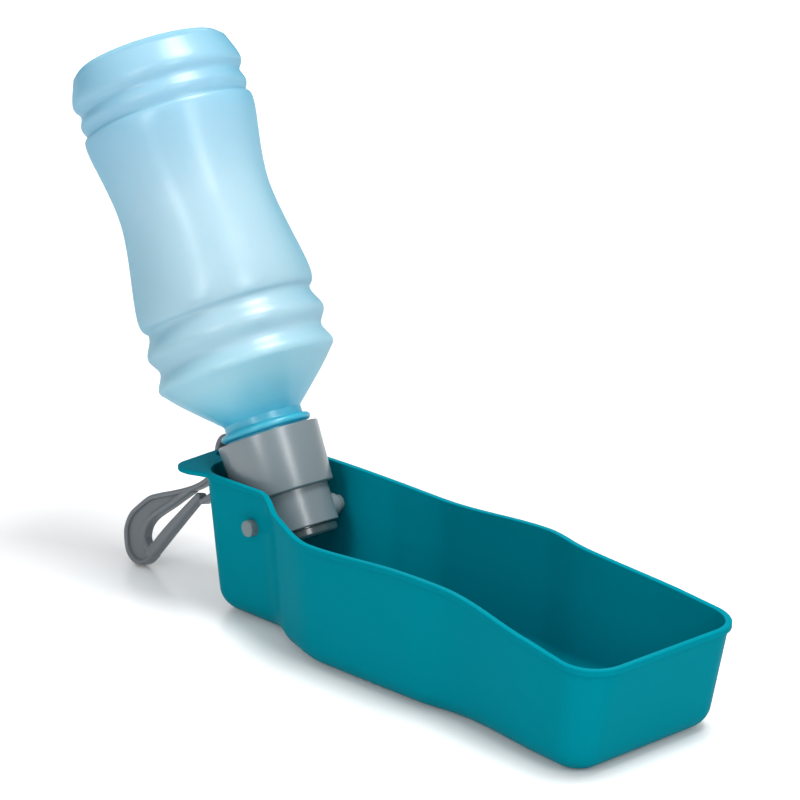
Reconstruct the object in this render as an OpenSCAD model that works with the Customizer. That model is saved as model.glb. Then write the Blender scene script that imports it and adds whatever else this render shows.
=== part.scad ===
// Dog travel water bottle: a squeeze bottle in a threaded cap, hinged in a drinking trough that
// folds over it, with a belt clip through the trough's rear ledge.
// Frame: origin on the floor under the fold hinge, +X to the trough's front, +Z up.
// The cap, the bottle and what is inside them are drawn upright about the hinge line, with the
// bottle's axis along Z, and then leaned back together.

/* [Trough plan] */
// Front end of the rim, from the hinge line
trough_front_x = 205.6; // [195:0.2:215]
// Rear wall's inner face at the rim, behind the hinge line
rear_inner_x = 35.4; // [34:0.1:38]
// Half width of the rear box at the rim
rear_half_w = 25.1; // [24.8:0.1:27]
// Half width halfway along the step from the rear box to the basin
step_half_w = 33.2; // [31.5:0.1:34.5]
// Half width where the basin has opened out
basin_half_w = 39; // [37.5:0.1:42]
// Half width at the top of the sides
crest_half_w = 38.5; // [37.5:0.1:42]
// Half width at the waist
waist_half_w = 36; // [34.5:0.1:38]
// Half width at the front bulge
bulge_half_w = 40; // [38.5:0.1:42.5]
// Half width at the front corners
front_half_w = 41.6; // [40:0.1:43.5]
// Plan radius of the rear corners
rear_corner_r = 15; // [12:0.5:17]
// Plan radius of the front corners
front_corner_r = 15; // [12:0.5:18]
// Plan radius of all four corners at the floor
floor_corner_r = 4; // [3:0.5:6]

/* [Trough heights] */
// Rim height round the rear box and top of the ledge
rear_rim_z = 60.5; // [58:0.1:62]
// Rim height halfway along the step
step_rim_z = 56.1; // [55:0.1:58]
// Rim height where the basin has opened out
basin_rim_z = 52.5; // [50:0.1:55]
// Rim height at the top of the sides
crest_rim_z = 55.1; // [52:0.1:57]
// Rim height at the waist
waist_rim_z = 53.3; // [50:0.1:55]
// Rim height at the front bulge
bulge_rim_z = 47.9; // [45:0.1:50]
// Rim height at the front
front_rim_z = 43.9; // [40:0.1:45]

/* [Trough wall] */
// Wall thickness
wall_t = 1.6; // [1.4:0.1:2]
// Floor thickness
floor_t = 1.8; // [1.5:0.1:2.5]
// Width of the lip that stands out round the rim
lip_w = 0.8; // [0.5:0.1:1.4]
// Height of the lip
lip_h = 2.5; // [1.6:0.1:3.2]
// Radius between the walls and the floor, outside
base_r = 10.5; // [8:0.5:12]
// Lean of the side walls
side_draft = 3.55; // [2:0.05:4.5]
// Lean of the front wall
front_draft = 12.4; // [8:0.1:15]
// Lean of the rear wall
rear_draft = 5.7; // [4.5:0.1:7]

/* [Rear ledge] */
// Reach of the ledge behind the hinge line
ledge_x = 49.8; // [49.4:0.1:51]
// Half width of the ledge at its ears
ledge_half_w = 32.9; // [30:0.1:35]
// Ledge thickness
ledge_t = 2; // [1.6:0.1:2.4]
// Length of the clip's slot through the ledge, across
slot_len = 14; // [13:0.5:17]
// Width of the clip's slot
slot_w = 8; // [7.8:0.1:8.2]
// Web between the slot and the ledge's rear edge
web_w = 3.4; // [3:0.1:3.6]

/* [Fold hinge] */
// Height of the hinge line
pivot_z = 43.6; // [43:0.1:44.5]
// Distance of the bottle's axis behind the hinge line
axis_back = 3; // [2.5:0.1:3.5]
// Radius of the hinge pins
pin_r = 3.4; // [3:0.1:3.7]
// Distance between the pins' outer ends, halved
pin_reach = 28.4; // [27.6:0.1:30]
// Running clearance of a pin in the trough, on radius
pin_gap = 0.08; // [0.05:0.01:0.1]
// Radius of the bosses that hold the pins
boss_r = 4.8; // [4.6:0.1:5.2]
// Depth of a pin in its boss
pin_depth = 5.6; // [5:0.1:6]
// Gap between a boss and the trough's wall
boss_gap = 2.5; // [0.3:0.1:2.8]

/* [Cap] */
// Radius of the collar at its open end
collar_top_r = 21.3; // [21:0.1:22]
// Radius of the collar at its step
collar_low_r = 20.1; // [20:0.1:20.6]
// Top of the collar, along the bottle's axis
collar_top = 35.2; // [33:0.1:35.6]
// Underside of the collar
collar_low = 9.6; // [9:0.1:10]
// Radius of the barrel below the collar
barrel_r = 17.4; // [17:0.1:17.8]
// Underside of the barrel
barrel_low = -6.4; // [-6.8:0.1:-6.2]
// Radius of the threaded bore
thread_bore_r = 18.75; // [18.7:0.05:18.9]
// Radius of the water way through the barrel
waterway_r = 11.5; // [10:0.5:12]
// Radius of the valve's chamber
chamber_r = 13.5; // [13:0.1:13.6]
// Thickness of the shelf that the washer lies on, above the collar's step
shelf_t = 1.5; // [1.2:0.1:2]

/* [Valve and nozzle] */
// Thickness of the valve's rim
valve_t = 1.5; // [1.2:0.1:2]
// Radius of the nozzle's visible ring
nozzle_r = 16.1; // [15.5:0.1:16.6]
// Height of the nozzle's visible ring
nozzle_h = 3.8; // [3.4:0.1:4.2]
// Shadow gap between barrel and nozzle
nozzle_gap = 0.5; // [0.3:0.1:0.8]
// Radius of the outlet
outlet_r = 7.5; // [6:0.5:8]

/* [Bottle] */
// Wall thickness
bottle_wall = 1; // [0.8:0.1:1.4]
// Radius of the neck under its thread
neck_r = 17; // [16.9:0.05:17.05]
// Thickness of the neck's wall
neck_wall = 1.7; // [1.5:0.1:2]
// Thickness of the neck washer
washer_t = 2; // [1.6:0.1:2.4]
// Radius of the neck's bead
bead_r = 19; // [18.8:0.1:20]
// Gap between the collar and the neck's bead
bead_gap = 1.1; // [0.3:0.1:2]
// Height of the neck's bead
bead_h = 3; // [2.4:0.1:3.4]
// Radius of the neck above the bead
upper_neck_r = 16.4; // [16:0.1:17]
// Radius at the shoulder's edge
shoulder_r = 37.4; // [35:0.1:37.6]
// Radius of the first grip rib
rib_r = 37.8; // [36:0.1:38]
// Radius of the body below the grip ribs
body_r = 37.2; // [35:0.1:37.6]
// Radius of the waist
bottle_waist_r = 31.9; // [29:0.1:34]
// Radius of the swell before the heel
swell_r = 36.1; // [34:0.1:37]
// Radius of the heel rib
heel_rib_r = 35.6; // [34:0.1:37]
// Radius of the heel
heel_r = 36.3; // [34:0.1:37]
// Depth of the grooves between the grip ribs
grip_groove = 2.9; // [1.5:0.1:4]
// Depth of the grooves above the heel
heel_groove = 1.7; // [0.8:0.1:3]

/* [Bottle lengths from the hinge line] */
// Shoulder's edge
shoulder_u = 65; // [62:0.5:67]
// First grip rib
rib_u = 79; // [77:0.5:81]
// Body below the grip ribs
body_u = 96; // [94:0.5:99]
// Waist
bottle_waist_u = 135; // [130:1:140]
// Swell before the heel
swell_u = 168.5; // [165:0.5:170]
// Heel rib
heel_rib_u = 178; // [177:0.5:179]
// Heel
heel_u = 188; // [187:0.5:190]
// Base of the bottle
bottle_end_u = 201.5; // [199:0.5:202.5]

/* [Thread] */
// Pitch of the neck's thread
pitch = 4.2; // [4:0.1:5]
// Turns of each thread
thread_turns = 1.5; // [1:0.25:2]
// Height of each thread, on radius
thread_h = 1.25; // [1:0.05:1.3]

/* [Clip] */
// Thickness of the clip
clip_t = 5.5; // [4.5:0.1:6]
// Thickness of its web
clip_web_t = 2.4; // [1.6:0.1:3.4]
// Width of the eye's band
eye_w = 2.9; // [2.5:0.1:3.1]
// Width of its outer rim
rim_w = 2.3; // [2:0.1:2.9]
// Width of the rib round its loop
loop_rib_w = 2.2; // [1.6:0.1:2.6]
// Inner radius of the eye that goes round the ledge's web
eye_r = 3.3; // [3.2:0.05:3.5]
// Length from the eye's centre to the centre of the round end
clip_len = 68; // [66:0.2:71]
// Radius of the round end
clip_end_r = 10.4; // [9.5:0.1:11]
// Angle between the eye's sides and the clip's length
eye_bend = 40; // [36:1:44]
// Tilt of the clip to one side
clip_tilt = 13; // [8:1:16]
// Half width of the sprung arm at its tip
arm_tip_half = 1.4; // [1.2:0.05:1.5]
// Half width of the sprung arm at its root
arm_root_half = 2.2; // [1.9:0.05:2.4]
// Radius of the sprung arm's root
root_r = 3; // [2.7:0.05:3.1]
// Gap round the sprung arm's root and tip
arm_gap = 0.15; // [0.1:0.05:0.3]

/* [Hidden] */

eps = 0.01;
round_fn = 96;
small_fn = 48;
lip_round = 0.45;
fillet_steps = 6;
corner_steps = 8;
side_step = 4;
press = 0.02;
rest_gap = 0.1;

// Curves

// Cubic between two knots, with the slope at each end
function hermite(t, y0, y1, m0, m1, h) =
    let (t2 = t * t, t3 = t2 * t)
    (2 * t3 - 3 * t2 + 1) * y0 + (t3 - 2 * t2 + t) * h * m0
    + (3 * t2 - 2 * t3) * y1 + (t3 - t2) * h * m1;

function secant(k, c, i) = (k[i + 1][c] - k[i][c]) / (k[i + 1][0] - k[i][0]);

// Slope at knot i that keeps the curve from overshooting
function knot_slope(k, c, i) =
    (i == 0 || i == len(k) - 1) ? 0
    : let (a = secant(k, c, i - 1), b = secant(k, c, i)) a * b <= 0 ? 0 : 2 * a * b / (a + b);

function segment(k, x, i = 0) = (i >= len(k) - 2 || x <= k[i + 1][0]) ? i : segment(k, x, i + 1);

// Column c of the knots k at x
function along(k, c, x) =
    x <= k[0][0] ? k[0][c]
    : x >= k[len(k) - 1][0] ? k[len(k) - 1][c]
    : let (i = segment(k, x), h = k[i + 1][0] - k[i][0])
      hermite((x - k[i][0]) / h, k[i][c], k[i + 1][c], knot_slope(k, c, i), knot_slope(k, c, i + 1), h);

// Smooth curve through points, n pieces between two of them
function spline_point(a, b, c, d, t) =
    0.5 * (2 * b + (c - a) * t + (2 * a - 5 * b + 4 * c - d) * t * t + (3 * b - a - 3 * c + d) * t * t * t);
function spline(p, n) = [
    for (i = [0:len(p) - 2], j = [0:n - 1])
        spline_point(p[max(i - 1, 0)], p[i], p[i + 1], p[min(i + 2, len(p) - 1)], j / n),
    p[len(p) - 1]
];

function arc(centre, r, from, to, steps) =
    [for (i = [0:steps]) let (a = from + (to - from) * i / steps) centre + r * [cos(a), sin(a)]];

function mirrored(half) = concat(half, [for (i = [len(half) - 1:-1:0]) [half[i][0], -half[i][1]]]);

// A solid through closed rows of points, each as long as the next, with flat ends
module loft(rows) {
    n = len(rows[0]);
    m = len(rows);
    sides = [
        for (r = [0:m - 2], i = [0:n - 1])
            let (a = r * n + i, b = r * n + (i + 1) % n, c = a + n, d = b + n)
            each [[a, b, c], [b, d, c]]
    ];
    polyhedron(
        points = [for (row = rows) each row],
        faces = concat(
            sides,
            [[for (i = [n - 1:-1:0]) i]],
            [[for (i = [0:n - 1]) (m - 1) * n + i]]
        ),
        convexity = 8
    );
}

// Trough

// Knots along the trough: place, half width of the wall at the rim, rim height
step_start_x = 5;
step_mid_x = 25.5;
step_end_x = 50.5;
crest_x = 105;
waist_x = 128;
bulge_x = 169;
rim_knots = [
    [step_start_x, rear_half_w, rear_rim_z],
    [step_mid_x, step_half_w, step_rim_z],
    [step_end_x, basin_half_w, basin_rim_z],
    [crest_x, crest_half_w, crest_rim_z],
    [waist_x, waist_half_w, waist_rim_z],
    [bulge_x, bulge_half_w, bulge_rim_z],
    [trough_front_x - lip_w, front_half_w, front_rim_z]
];
wall_front_x = trough_front_x - lip_w;
wall_rear_x = -rear_inner_x - wall_t;

function half_width(x) = along(rim_knots, 1, x);
function rim_height(x) = along(rim_knots, 2, x);

side_from = wall_rear_x + rear_corner_r;
side_to = wall_front_x - front_corner_r;
side_count = ceil((side_to - side_from) / side_step);
front_side_w = half_width(side_to);

// One half of the wall's line at the rim, from the rear to the front
plan_half = concat(
    [[wall_rear_x, 4]],
    [for (p = arc([side_from, rear_half_w - rear_corner_r], rear_corner_r, 180, 90, corner_steps)) p],
    [for (i = [1:side_count - 1])
        let (x = side_from + (side_to - side_from) * i / side_count) [x, half_width(x)]],
    arc([side_to, front_side_w - front_corner_r], front_corner_r, 90, 0, corner_steps),
    [[wall_front_x, front_half_w / 3]]
);
plan = mirrored(plan_half);

// Outward normal of the wall's line at point i
function plan_normal(i) =
    let (
        n = len(plan),
        t = plan[(i + 1) % n] - plan[(i + n - 1) % n]
    ) [-t[1], t[0]] / norm(t);
normals = [for (i = [0:len(plan) - 1]) plan_normal(i)];

function draft_at(i) =
    let (back = max(0, -normals[i][0]), ahead = max(0, normals[i][0]))
    side_draft + (rear_draft - side_draft) * back * back + (front_draft - side_draft) * ahead * ahead;

// Points of the wall's section where the wall leans by d and the rim is h high, as [outward, up],
// with the wall moved in by t and the floor up by f
function wall_section(d, h, t, f) =
    let (
        r = base_r - t,
        cz = f + r,
        cx = -t - (h - cz + r * sin(d)) * tan(d) - r * cos(d)
    ) [for (s = [0:fillet_steps]) let (a = -90 + (90 - d) * s / fillet_steps) [cx + r * cos(a), cz + r * sin(a)]];

function rim_section(d, h) = [
        [-lip_h * tan(d), h - lip_h],
        [lip_w - lip_round / 2, h - lip_h + lip_round / 2],
        [lip_w, h - lip_h + lip_round],
        [lip_w, h - lip_round],
        [lip_w - lip_round, h],
        [lip_round - wall_t, h],
        [-wall_t, h - lip_round]
    ];

function section(d, h) =
    let (inner = wall_section(d, h, wall_t, floor_t))
    concat(
        wall_section(d, h, 0, 0),
        rim_section(d, h),
        [for (s = [fillet_steps:-1:0]) inner[s]]
    );

trough_sections = [for (i = [0:len(plan) - 1]) section(draft_at(i), rim_height(plan[i][0]))];

// A corner is an arc at every height. Its radius goes from r at the rim to floor_corner_r at the
// floor, and it touches the end wall and the side wall where they are at that height.
rear_end_section = section(rear_draft, rear_rim_z);
rear_side_section = section(side_draft, rear_rim_z);
front_end_section = section(front_draft, front_rim_z);
front_side_section = section(side_draft, rim_height(side_to));

function corner_radius(row, r, end, side) =
    r - (r - floor_corner_r) * (end[row][0] + side[row][0]) / (end[0][0] + side[0][0]);

function corner_point(n, row, r, end_x, side_y, end, side) =
    let (
        k = corner_radius(row, r, end, side),
        c = [end_x + sign(end_x) * (end[row][0] - k), side_y + side[row][0] - k]
    ) [c[0] + k * n[0], sign(n[1]) * c[1] + k * n[1]];

// How far the corner's arc starts from where it starts at the rim, shared out over the side's end
blend_len = 28;
function slide(row, r, end, side, away) =
    (corner_radius(row, r, end, side) - r - end[row][0]) * max(0, 1 - away / blend_len);

function trough_point(i, row) =
    let (p = plan[i], n = normals[i], z = trough_sections[i][row][1], q =
        abs(n[1]) > eps && p[0] <= side_from
            ? corner_point(n, row, rear_corner_r, wall_rear_x, rear_half_w, rear_end_section, rear_side_section)
        : abs(n[1]) > eps && p[0] >= side_to
            ? corner_point(n, row, front_corner_r, wall_front_x, front_side_w, front_end_section, front_side_section)
        : p + n * trough_sections[i][row][0] + (abs(n[1]) <= eps ? [0, 0] : [
            slide(row, rear_corner_r, rear_end_section, rear_side_section, p[0] - side_from)
            - slide(row, front_corner_r, front_end_section, front_side_section, side_to - p[0]), 0])
    ) [q[0], q[1], z];

trough_rows = [for (row = [0:len(trough_sections[0]) - 1]) [for (i = [0:len(plan) - 1]) trough_point(i, row)]];

// The middle of the wall, which parts the ledge from the cavity
mid_wall = [for (i = [0:len(plan) - 1]) plan[i] - normals[i] * wall_t / 2];

ear_x = -30;
ear_r = 5.5;
ledge_corner = [-39.8, 20.5];
ledge_corner_r = 8.6;
ledge_front_x = -18;

// The ledge's outline, drawn in by inset
function ledge_outline(inset) = mirrored(concat(
    [[-ledge_x + inset, 0.5]],
    arc(ledge_corner, ledge_corner_r - inset, 176, 118, 6),
    arc([ear_x, ledge_half_w - ear_r], ear_r - inset, 118, 60, 5),
    [[ledge_front_x, rear_half_w - wall_t / 2]]
));

ledge_round = 0.6;
module ledge() {
    z0 = rear_rim_z - ledge_t;
    levels = [[ledge_round, z0], [0, z0 + ledge_round], [0, rear_rim_z - ledge_round], [ledge_round, rear_rim_z]];
    difference() {
        loft([for (l = levels) [for (p = ledge_outline(l[0])) [p[0], p[1], l[1]]]]);
        translate([0, 0, z0 - 1]) linear_extrude(ledge_t + 2) polygon(mid_wall);
    }
}

slot_x = -ledge_x + web_w + slot_w / 2;

// The slot that the clip's eye goes through
module ledge_slot() {
    span = slot_len - slot_w;
    translate([slot_x, 0, rear_rim_z - ledge_t - 1]) {
        for (s = [-1, 1]) translate([0, s * span / 2, 0]) cylinder(r = slot_w / 2, h = ledge_t + 2, $fn = small_fn);
        translate([-slot_w / 2, -span / 2, 0]) cube([slot_w, span, ledge_t + 2]);
    }
}

module trough() {
    color([0, 0.5, 0.56])
    difference() {
        union() {
            loft(trough_rows);
            ledge();
        }
        ledge_slot();
        for (s = [-1, 1])
            translate([0, s * (rear_half_w - wall_t), pivot_z])
                rotate([90, 0, 0]) cylinder(r = pin_r + pin_gap, h = 10, center = true, $fn = small_fn);
    }
}

// Leaned parts

// Radius of the collar at its step, and its widening along the axis
collar_slope = (collar_top_r - collar_low_r) / (collar_top - collar_low);
collar_r0 = collar_low_r - collar_slope * collar_low;

// The lean at which the collar's back rests on the rear rim's inner edge
stop_z = rear_rim_z - pivot_z;
stop_far = norm([rear_inner_x, stop_z]) * norm([1, collar_slope]);
stop_turn = atan2(stop_z + collar_slope * rear_inner_x, rear_inner_x - collar_slope * stop_z);
lean = acos((axis_back + collar_r0 + rest_gap) / stop_far) - stop_turn;

module leaned() {
    translate([0, 0, pivot_z]) rotate([0, -lean, 0]) translate([-axis_back, 0, 0]) children();
}

// A helical thread about Z that climbs from z0, its root at radius r, standing out by h, inwards
// where h is negative
module thread(r, h, z0, start) {
    steps = 24;
    count = round(thread_turns * steps);
    root_half = 0.24 * pitch;
    crest_half = 0.12 * pitch;
    taper = 3;
    side = sign(h);
    sink = 0.25 * side;
    rows = [
        for (i = [0:count])
            let (
                a = start + 360 * i / steps,
                z = z0 + pitch * i / steps,
                k = min(1, i / taper + 0.1, (count - i) / taper + 0.1),
                ring = [[r - sink, -root_half], [r + h * k, -crest_half], [r + h * k, crest_half], [r - sink, root_half]],
                order = side > 0 ? [0, 1, 2, 3] : [3, 2, 1, 0]
            )
            [for (j = order) [ring[j][0] * cos(a), ring[j][0] * sin(a), z + ring[j][1]]]
    ];
    loft(rows);
}

// Cap
shelf_u = collar_low + shelf_t;
chamber_top = 0;
thread_low = shelf_u + washer_t + 2.5;
cap_round = 0.9;

module cap_body() {
    rotate_extrude($fn = round_fn) polygon(concat(
        [[chamber_r, barrel_low], [barrel_r - cap_round / 2, barrel_low], [barrel_r, barrel_low + cap_round / 2],
         [barrel_r, collar_low]],
        arc([collar_low_r - cap_round, collar_low + cap_round], cap_round, -90, 0, 4),
        [[collar_top_r, collar_top - 0.3], [collar_top_r - 0.3, collar_top], [thread_bore_r, collar_top],
         [thread_bore_r, shelf_u], [waterway_r, shelf_u], [waterway_r, chamber_top], [chamber_r, chamber_top]]
    ));
}

boss_end = rear_half_w - (rear_rim_z - pivot_z) * tan(side_draft) - wall_t - boss_gap;
pin_bottom = boss_end - pin_depth;

module cap() {
    color([0.55, 0.58, 0.6])
    leaned() {
        difference() {
            union() {
                cap_body();
                for (s = [-1, 1])
                    translate([axis_back, s * (barrel_r - 2), 0]) rotate([-90 * s, 0, 0])
                        cylinder(r = boss_r, h = boss_end - barrel_r + 2, $fn = small_fn);
            }
            for (s = [-1, 1])
                translate([axis_back, s * pin_bottom, 0]) rotate([-90 * s, 0, 0])
                    cylinder(r = pin_r, h = pin_depth + 1, $fn = small_fn);
        }
        thread(thread_bore_r, -thread_h, thread_low, 20);
    }
}

// A hinge pin on one side, with a small chamfer on its outer end
module pivot_pin(side) {
    chamfer = 0.35;
    color([0.62, 0.64, 0.66])
    leaned()
        translate([axis_back, side * (pin_bottom + press), 0]) rotate([-90 * side, 0, 0])
            rotate_extrude($fn = small_fn) polygon([
                [0, 0], [pin_r + press, 0], [pin_r + press, pin_depth - 1], [pin_r, pin_depth - 1 + press],
                [pin_r, pin_reach - pin_bottom - chamfer], [pin_r - chamfer, pin_reach - pin_bottom],
                [0, pin_reach - pin_bottom]
            ]);
}
module pivot_pin_left() pivot_pin(1);
module pivot_pin_right() pivot_pin(-1);

washer_outer_r = thread_bore_r - thread_h - 0.3;
washer_inner_r = neck_r - neck_wall - 0.6;

module neck_washer() {
    color([0.9, 0.92, 0.93])
    leaned()
        translate([0, 0, shelf_u]) difference() {
            cylinder(r = washer_outer_r, h = washer_t, $fn = round_fn);
            translate([0, 0, -1]) cylinder(r = washer_inner_r, h = washer_t + 2, $fn = round_fn);
        }
}

// A soft disc with a thin domed middle, slit crosswise
module slit_valve() {
    valve_r = chamber_r - 0.4;
    dome_r = outlet_r - 0.6;
    dome_t = 0.8;
    dome_drop = 2.6;
    slit = 0.25;
    sphere_r = (dome_r * dome_r + dome_drop * dome_drop) / (2 * dome_drop);
    bottom = chamber_top - valve_t;
    color([0.88, 0.9, 0.92])
    leaned()
        difference() {
            rotate_extrude($fn = round_fn) polygon(concat(
                [[valve_r, chamber_top], [valve_r, bottom], [dome_r + 0.2, bottom]],
                [for (i = [1:7]) let (r = dome_r * (1 - i / 8)) [r, bottom + sphere_r - dome_drop - sqrt(sphere_r * sphere_r - r * r)]],
                [[0, bottom - dome_drop], [0, bottom - dome_drop + dome_t]],
                [for (i = [7:-1:1]) let (r = dome_r * (1 - i / 8))
                    [r, bottom + dome_t + sphere_r - dome_drop - sqrt(sphere_r * sphere_r - r * r)]],
                [[dome_r, bottom + dome_t], [dome_r + 1, chamber_top]]
            ));
            for (a = [0, 90])
                rotate([0, 0, a]) translate([0, 0, bottom - dome_drop]) cube([dome_r, slit, 2 * dome_t + 1], center = true);
        }
}

module nozzle_ring() {
    top = barrel_low - nozzle_gap;
    low = top - nozzle_h;
    edge = 1.3;
    color([0.5, 0.53, 0.55])
    leaned()
        rotate_extrude($fn = round_fn) polygon(concat(
            [[outlet_r, low]],
            arc([nozzle_r - edge, low + edge], edge, -90, 0, 5),
            [[nozzle_r, top - 0.4], [nozzle_r - 0.4, top], [nozzle_r - 1.2, top], [nozzle_r - 1.2, barrel_low],
             [chamber_r - press, barrel_low], [chamber_r - press, chamber_top - valve_t], [outlet_r + 1.4, chamber_top - valve_t],
             [outlet_r, chamber_top - valve_t - 1.2]]
        ));
}

// Bottle
mouth_u = shelf_u + washer_t;
bead_u = collar_top + bead_gap;

// The body's rings, as [place, radius], each groove midway between two ribs
function groove(a, b, depth) = [(a[0] + b[0]) / 2, (a[1] + b[1]) / 2 - depth];
ring_shoulder = [shoulder_u, shoulder_r];
ring_rib = [rib_u, rib_r];
ring_body = [body_u, body_r];
ring_swell = [swell_u, swell_r];
ring_heel_rib = [heel_rib_u, heel_rib_r];
ring_heel = [heel_u, heel_r];
shoulder_low = [bead_u + bead_h + 4.4, upper_neck_r + 0.8];
base_flat_r = 26;
base_round = [bottle_end_u - 3.4, heel_r - 3.4];
body_rings = [
    shoulder_low,
    shoulder_low * 0.5 + ring_shoulder * 0.5,
    [shoulder_u - 3.6, shoulder_r - 2.9],
    ring_shoulder,
    groove(ring_shoulder, ring_rib, grip_groove),
    ring_rib,
    groove(ring_rib, ring_body, grip_groove),
    ring_body,
    [bottle_waist_u, bottle_waist_r],
    ring_swell,
    groove(ring_swell, ring_heel_rib, heel_groove),
    ring_heel_rib,
    groove(ring_heel_rib, ring_heel, heel_groove),
    ring_heel,
    base_round
];
body_curve = spline(body_rings, 5);

// Base, pushed up a little in the middle
base_push = 3;
base_curve = [
    [bottle_end_u - 0.6, base_flat_r + 3.6], [bottle_end_u, base_flat_r], [bottle_end_u - 0.9, base_flat_r - 6],
    [bottle_end_u - base_push, base_flat_r / 3], [bottle_end_u - base_push, 0]
];

module bottle() {
    bead_round = bead_h / 2;
    neck_bore = neck_r - neck_wall;
    shell = concat(body_curve, base_curve);
    inside = [for (p = shell) [min(p[0], bottle_end_u - base_push) - (p[1] < base_flat_r + 4 ? bottle_wall : 0), max(p[1] - bottle_wall, 0)]];
    outline = concat(
        [[neck_bore, mouth_u], [neck_r - 0.4, mouth_u], [neck_r, mouth_u + 0.4], [neck_r, bead_u]],
        arc([bead_r - bead_round, bead_u + bead_round], bead_round, -90, 90, 6),
        [[upper_neck_r + 0.5, bead_u + bead_h + 0.4], [upper_neck_r, bead_u + bead_h + 1.4], [upper_neck_r, bead_u + bead_h + 2.8]],
        [for (p = shell) [p[1], p[0]]],
        [for (i = [len(inside) - 1:-1:0]) [inside[i][1], inside[i][0]]],
        [[neck_bore, bead_u + bead_h]]
    );
    color([0.62, 0.85, 0.93, 0.8])
    leaned() {
        rotate_extrude($fn = round_fn) polygon(outline);
        thread(neck_r, thread_h, thread_low + pitch / 2, 20);
    }
}

// Clip

// A strip of the plane along a smooth line, with round ends and its half width at each point
function strip(points, half, n) =
    let (
        c = spline(points, n),
        w = spline(half, n),
        m = len(c) - 1,
        t = [for (i = [0:m]) let (d = c[min(i + 1, m)] - c[max(i - 1, 0)]) d / norm(d)],
        side = [for (i = [0:m]) [-t[i][1], t[i][0]]]
    ) concat(
        [for (i = [0:m]) c[i] + w[i] * side[i]],
        [for (f = [22.5:22.5:157.5]) c[m] + w[m] * (cos(f) * side[m] + sin(f) * t[m])],
        [for (i = [m:-1:0]) c[i] - w[i] * side[i]],
        [for (f = [22.5:22.5:157.5]) c[0] - w[0] * (cos(f) * side[0] + sin(f) * t[0])]
    );

function turned(p, a) = [p[0] * cos(a) - p[1] * sin(a), p[0] * sin(a) + p[1] * cos(a)];

// The clip hangs down from its eye's centre in its own plane, its sprung arm on the right
eye_mid = eye_r + eye_w / 2;
rim_half = rim_w / 2;
end_mid = clip_end_r - rim_half;
eye_line = [for (a = [0:30:180]) turned(eye_mid * [cos(a), sin(a)], eye_bend)];
nose_line = [[9.5, -25.2], [11, -19], [11.9, -12.5], [10.8, -6], turned([eye_mid, -3], eye_bend)];
back_line = [
    turned([-eye_mid, -4], eye_bend), turned([-eye_mid - 0.3, -9.5], eye_bend), [3.9, -15], [3.3, -20.5],
    [1.4, -26.5], [-1.3, -32.5], [-4.9, -39.5], [-8.7, -46.5], [-11.6, -53]
];
bulge_mid = [-0.7, -clip_len + 3.6];
round_end = concat(
    [for (a = [170:20:230]) bulge_mid + (end_mid + 3.1) * [cos(a), sin(a)]],
    [for (a = [250:25:325]) [0, -clip_len] + end_mid * [cos(a), sin(a)]],
    [[9.4, -clip_len - 1.2]]
);
rim_line = concat(nose_line, eye_line, back_line, round_end);
eye_end = len(nose_line) + len(eye_line) + 2;
rim_halves = [for (i = [0:len(rim_line) - 1]) i == 0 ? rim_half : i < eye_end ? eye_w / 2 : rim_half];
web_from = eye_end + 2;

// The rib beside the loop's slot, from the back down and round to the arm's root
rib_half = loop_rib_w / 2;
slot_line = [
    [1.9, -28.8], [0.6, -36], [-0.7, -43.3], [-2.3, -50.6], [-3.1, -55.7], [-2.9, -59.8], [-1.7, -62.7],
    [0.4, -64.8], [3, -65.2], [5.4, -64.4]
];
rib_line = [for (i = [0:len(slot_line) - 1]) slot_line[i] + rib_half * rib_side(i)];
function rib_side(i) =
    let (d = slot_line[min(i + 1, len(slot_line) - 1)] - slot_line[max(i - 1, 0)]) [d[1], -d[0]] / norm(d);

arm_tip = [6.2, -26.2];
arm_root = [7.9, -clip_len + 2.4];
arm_line = [arm_tip, [6.4, -38], [6.9, -52], arm_root];
arm_halves = [arm_tip_half, (arm_tip_half + arm_root_half) / 2, arm_root_half, arm_root_half];

// How far the clip leans back for its round end to stand on the floor
eye_z = rear_rim_z + 0.6;
eye_x = -ledge_x + eye_r - 0.4;
clip_drop = (eye_z - clip_t * sin(clip_tilt)) / cos(clip_tilt) - clip_end_r;
clip_lean = acos(clip_drop / clip_len);

module clip_place() {
    translate([eye_x, 0, eye_z]) rotate([90 - clip_tilt, 0, 0]) rotate([0, 0, -clip_lean])
        translate([0, 0, -clip_t / 2]) children();
}
module slab(t) {
    translate([0, 0, -t / 2]) linear_extrude(t) children();
}

module clip_hook() {
    color([0.42, 0.44, 0.46])
    clip_place() difference() {
        union() {
            slab(clip_t) polygon(strip(rim_line, rim_halves, 4));
            slab(clip_t) polygon(strip(rib_line, [for (p = rib_line) rib_half], 4));
            slab(clip_web_t) polygon(concat(
                [for (i = [web_from:len(rim_line) - 1]) rim_line[i]],
                [for (i = [len(rib_line) - 1:-1:0]) rib_line[i]]
            ));
        }
        slab(clip_t + 1) polygon(strip(
            [arm_tip, arm_line[1], arm_line[2], arm_root], [for (w = arm_halves) w + arm_gap], 4
        ));
        translate([arm_root[0], arm_root[1], -clip_t]) cylinder(r = root_r + arm_gap, h = 2 * clip_t, $fn = small_fn);
    }
}

module clip_arm() {
    color([0.42, 0.44, 0.46])
    clip_place() {
        slab(clip_t) polygon(strip(arm_line, arm_halves, 4));
        translate([arm_root[0], arm_root[1], -clip_t / 2]) cylinder(r = root_r, h = clip_t, $fn = small_fn);
    }
}

trough();
bottle();
cap();
pivot_pin_left();
pivot_pin_right();
neck_washer();
slit_valve();
nozzle_ring();
clip_hook();
clip_arm();
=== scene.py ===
import math

import bmesh
import bpy
from mathutils import Matrix, Vector


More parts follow.
